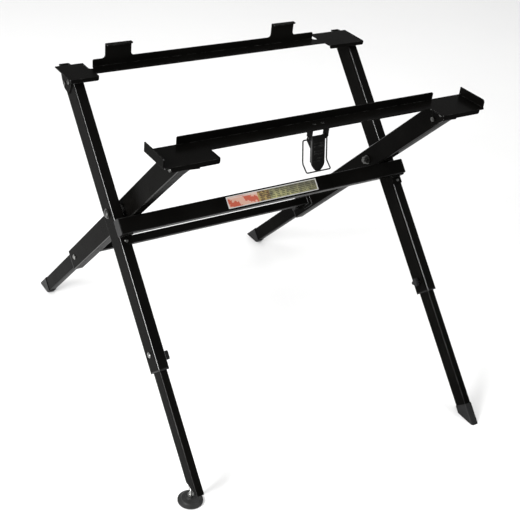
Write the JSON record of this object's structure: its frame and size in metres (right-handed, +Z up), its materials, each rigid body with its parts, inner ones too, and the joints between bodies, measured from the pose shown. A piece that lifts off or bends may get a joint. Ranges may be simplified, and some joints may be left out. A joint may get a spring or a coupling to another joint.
{
  "type": "folding tool stand",
  "caption": "Folding X-frame stand of black steel tube with telescoping legs, two flat top rails, upright hooks, a draw latch and one levelling foot.",
  "frame": {"origin": "on the floor, midway between the four feet and straight under the middle of the pivot line", "axes": "+X along the rails to the stand's right, +Y from the front rail to the rear rail, +Z up"},
  "size_m": [0.784, 0.9792, 0.769],
  "materials": {
    "black_paint": "gloss",
    "zinc_steel": "satin",
    "black_plastic": "satin",
    "latch_black": "satin",
    "wire_black": "satin",
    "dark_fasteners": "satin",
    "label_film": "gloss",
    "foot_rubber": "matte"
  },
  "bodies": {
    "outer_frame": {"outer_leg_left": "black_paint", "outer_leg_right": "black_paint", "rear_rail": "black_paint", "rear_rail_bolts": "dark_fasteners", "rear_rail_nuts": "dark_fasteners", "stop_bar": "black_paint", "stop_bar_plugs": "black_plastic", "stop_bar_brackets": "black_paint", "stop_bar_screws": "dark_fasteners", "bar_label": "label_film", "pivot_bolts": "dark_fasteners", "pivot_nuts": "dark_fasteners", "pivot_spacers": "zinc_steel", "pivot_washers": "dark_fasteners", "outer_leg_guides": "black_plastic", "outer_guide_screws": "zinc_steel", "outer_clamp_nuts": "zinc_steel"},
    "inner_frame": {"inner_leg_left": "black_paint", "inner_leg_right": "black_paint", "front_rail": "black_paint", "front_rail_bolts": "dark_fasteners", "front_rail_nuts": "dark_fasteners", "lower_brace": "black_paint", "inner_leg_guides": "black_plastic", "inner_guide_screws": "zinc_steel", "inner_clamp_nuts": "zinc_steel", "latch_base": "latch_black", "latch_rivets": "dark_fasteners", "latch_pin": "dark_fasteners"},
    "latch_lever": {"latch_lever": "latch_black"},
    "latch_bail": {"latch_bail": "wire_black"},
    "foot_pad": {"foot_pad": "foot_rubber"},
    "foot_screw": {"foot_stud": "zinc_steel"},
    "leg_front_left": {"lower_leg_front_left": "black_paint", "slide_plug_front_left": "black_plastic", "foot_insert": "black_plastic", "foot_nut": "zinc_steel"},
    "clamp_front_left": {"clamp_screw_front_left": "zinc_steel", "clamp_knob_front_left": "black_plastic"},
    "leg_front_right": {"lower_leg_front_right": "black_paint", "slide_plug_front_right": "black_plastic", "foot_cap_front_right": "black_plastic"},
    "clamp_front_right": {"clamp_screw_front_right": "zinc_steel", "clamp_knob_front_right": "black_plastic"},
    "leg_rear_left": {"lower_leg_rear_left": "black_paint", "slide_plug_rear_left": "black_plastic", "foot_cap_rear_left": "black_plastic"},
    "clamp_rear_left": {"clamp_screw_rear_left": "zinc_steel", "clamp_knob_rear_left": "black_plastic"},
    "leg_rear_right": {"lower_leg_rear_right": "black_paint", "slide_plug_rear_right": "black_plastic", "foot_cap_rear_right": "black_plastic"},
    "clamp_rear_right": {"clamp_screw_rear_right": "zinc_steel", "clamp_knob_rear_right": "black_plastic"}
  },
  "joints": [
    {"name": "fold", "type": "hinge", "parent": "outer_frame", "child": "inner_frame", "pos_m": [0, 0, 0.4825], "axis": [-1, 0, 0], "range_deg": [0, 72]},
    {"name": "extend_front_left", "type": "slide", "parent": "outer_frame", "child": "leg_front_left", "axis": [0, -0.6915, -0.7224], "range_m": [-0.18, 0]},
    {"name": "clamp_front_left", "type": "hinge", "parent": "outer_frame", "child": "clamp_front_left", "pos_m": [-0.341, -0.22198, 0.25062], "axis": [1, 0, 0], "continuous": true},
    {"name": "extend_front_right", "type": "slide", "parent": "outer_frame", "child": "leg_front_right", "axis": [0, -0.6915, -0.7224], "range_m": [-0.18, 0]},
    {"name": "clamp_front_right", "type": "hinge", "parent": "outer_frame", "child": "clamp_front_right", "pos_m": [0.341, -0.22198, 0.25062], "axis": [-1, 0, 0], "continuous": true},
    {"name": "extend_rear_left", "type": "slide", "parent": "inner_frame", "child": "leg_rear_left", "axis": [0, 0.6915, -0.7224], "range_m": [-0.18, 0]},
    {"name": "clamp_rear_left", "type": "hinge", "parent": "inner_frame", "child": "clamp_rear_left", "pos_m": [-0.307, 0.2524, 0.21884], "axis": [1, 0, 0], "continuous": true},
    {"name": "extend_rear_right", "type": "slide", "parent": "inner_frame", "child": "leg_rear_right", "axis": [0, 0.6915, -0.7224], "range_m": [-0.18, 0]},
    {"name": "clamp_rear_right", "type": "hinge", "parent": "inner_frame", "child": "clamp_rear_right", "pos_m": [0.307, 0.2524, 0.21884], "axis": [-1, 0, 0], "continuous": true},
    {"name": "foot_height", "type": "slide", "parent": "leg_front_left", "child": "foot_pad", "axis": [0, 0, -1], "range_m": [-0.01, 0.02]},
    {"name": "foot_thread", "type": "hinge", "parent": "foot_pad", "child": "foot_screw", "pos_m": [-0.3635, -0.4, 0], "axis": [0, 0, 1], "range_deg": [-4850, 2450]},
    {"name": "latch_open", "type": "hinge", "parent": "inner_frame", "child": "latch_lever", "pos_m": [-0.008, -0.206, 0.692], "axis": [-1, 0, 0], "range_deg": [0, 95]},
    {"name": "bail_swing", "type": "hinge", "parent": "latch_lever", "child": "latch_bail", "pos_m": [-0.008, -0.19863, 0.68465], "axis": [-1, 0, 0], "range_deg": [0, 40]}
  ],
  "couplings": [
    {"joint": "foot_thread", "follows": "foot_height", "rad_per_m": -4188.8}
  ]
}
